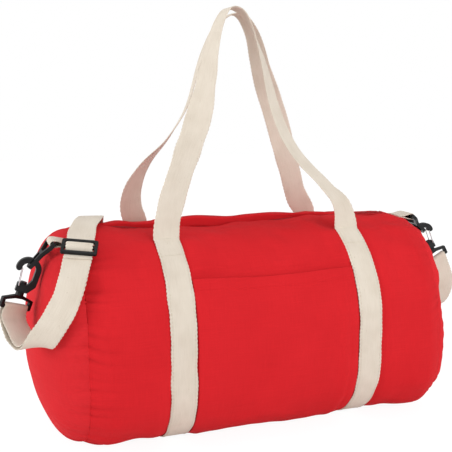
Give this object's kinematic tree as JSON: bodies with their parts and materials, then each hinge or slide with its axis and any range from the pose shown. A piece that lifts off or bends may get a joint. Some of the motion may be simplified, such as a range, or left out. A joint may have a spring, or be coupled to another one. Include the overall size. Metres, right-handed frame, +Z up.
{
  "type": "barrel bag",
  "caption": "Soft cotton barrel bag with round end panels, a zipped top, webbing carry handles sewn round the body and a shoulder strap on clip-on swivel hooks.",
  "frame": {"origin": "on the ground, under the middle of the barrel", "axes": "+X along the barrel towards the plain strap end, -Y the front with the slip pocket, +Z up"},
  "size_m": [0.6136, 0.2588, 0.487],
  "materials": {
    "red_cotton": "plain-woven cotton",
    "cream_webbing": "ribbed cotton webbing",
    "black_plastic": "moulded, satin",
    "steel_wire": "drawn wire",
    "red_coil": "nylon coil",
    "black_metal": "painted die casting"
  },
  "bodies": {
    "bag": {"barrel_panel": "red_cotton", "left_end_panel": "red_cotton", "right_end_panel": "red_cotton", "front_pocket": "red_cotton", "left_wrap_strap": "cream_webbing", "right_wrap_strap": "cream_webbing", "zip_tape_front": "red_cotton", "zip_tape_back": "red_cotton", "zip_coil_front": "red_coil", "zip_coil_back": "red_coil", "zip_stop_left": "red_coil", "zip_stop_right": "red_coil", "zip_end_tab_left": "red_cotton", "zip_end_tab_right": "red_cotton", "left_ring_tab": "cream_webbing", "right_ring_tab": "cream_webbing", "shoulder_strap": "cream_webbing", "strap_loop": "cream_webbing", "strap_right_end": "cream_webbing"},
    "front_handle": {"front_handle": "cream_webbing"},
    "back_handle": {"back_handle": "cream_webbing"},
    "zip_slider": {"zip_slider": "black_metal"},
    "zip_pull": {"zip_pull": "black_metal"},
    "strap_slider": {"strap_slider": "black_plastic"},
    "left_ring": {"left_ring": "black_plastic"},
    "left_hook": {"left_hook": "black_plastic"},
    "left_hook_gate": {"left_hook_gate": "steel_wire"},
    "left_swivel": {"left_swivel": "black_plastic"},
    "right_ring": {"right_ring": "black_plastic"},
    "right_hook": {"right_hook": "black_plastic"},
    "right_hook_gate": {"right_hook_gate": "steel_wire"},
    "right_swivel": {"right_swivel": "black_plastic"}
  },
  "joints": [
    {"name": "front_handle_fold", "type": "hinge", "parent": "bag", "child": "front_handle", "pos_m": [0, -0.06, 0.2322], "axis": [1, 0, 0], "range_deg": [0, 110]},
    {"name": "back_handle_fold", "type": "hinge", "parent": "bag", "child": "back_handle", "pos_m": [0, 0.06, 0.2322], "axis": [-1, 0, 0], "range_deg": [0, 110]},
    {"name": "zip_slide", "type": "slide", "parent": "bag", "child": "zip_slider", "axis": [1, 0, 0], "range_m": [0, 0.3718]},
    {"name": "zip_pull_flip", "type": "hinge", "parent": "zip_slider", "child": "zip_pull", "pos_m": [-0.1894, 0, 0.2431], "axis": [0, 1, 0], "range_deg": [0, 175], "deforming": ["shoulder_strap"]},
    {"name": "strap_slider_slide", "type": "slide", "parent": "bag", "child": "strap_slider", "axis": [0.2658, 0.8118, 0.5199], "range_m": [-0.008, 0.025], "deforming": ["strap_loop", "shoulder_strap"]},
    {"name": "left_ring_swing", "type": "hinge", "parent": "bag", "child": "left_ring", "pos_m": [-0.23699, -0.038, 0.23252], "axis": [0, 1, 0], "range_deg": [-2, 95], "deforming": ["strap_loop"]},
    {"name": "left_hook_swing", "type": "hinge", "parent": "left_ring", "child": "left_hook", "pos_m": [-0.2613, -0.038, 0.20735], "axis": [0, 1, 0], "range_deg": [0, 40], "deforming": ["strap_loop"]},
    {"name": "left_gate_press", "type": "hinge", "parent": "left_hook", "child": "left_hook_gate", "pos_m": [-0.27388, -0.038, 0.18849], "axis": [0, 1, 0], "range_deg": [0, 22], "stiffness_Nm_per_rad": 0.05},
    {"name": "left_swivel_turn", "type": "hinge", "parent": "left_hook", "child": "left_swivel", "pos_m": [-0.2613, -0.038, 0.20735], "axis": [0.3746, 0, 0.9272], "continuous": true, "deforming": ["strap_loop"]},
    {"name": "right_ring_swing", "type": "hinge", "parent": "bag", "child": "right_ring", "pos_m": [0.23299, 0, 0.2325], "axis": [0, -1, 0], "range_deg": [-15, 85], "deforming": ["strap_right_end"]},
    {"name": "right_hook_swing", "type": "hinge", "parent": "right_ring", "child": "right_hook", "pos_m": [0.2598, 0, 0.21], "axis": [0, -1, 0], "range_deg": [-2, 40], "deforming": ["strap_right_end"]},
    {"name": "right_gate_press", "type": "hinge", "parent": "right_hook", "child": "right_hook_gate", "pos_m": [0.27488, 0, 0.19308], "axis": [0, -1, 0], "range_deg": [0, 22], "stiffness_Nm_per_rad": 0.05},
    {"name": "right_swivel_turn", "type": "hinge", "parent": "right_hook", "child": "right_swivel", "pos_m": [0.2598, 0, 0.21], "axis": [-0.5, 0, 0.866], "continuous": true, "deforming": ["strap_right_end"]}
  ]
}
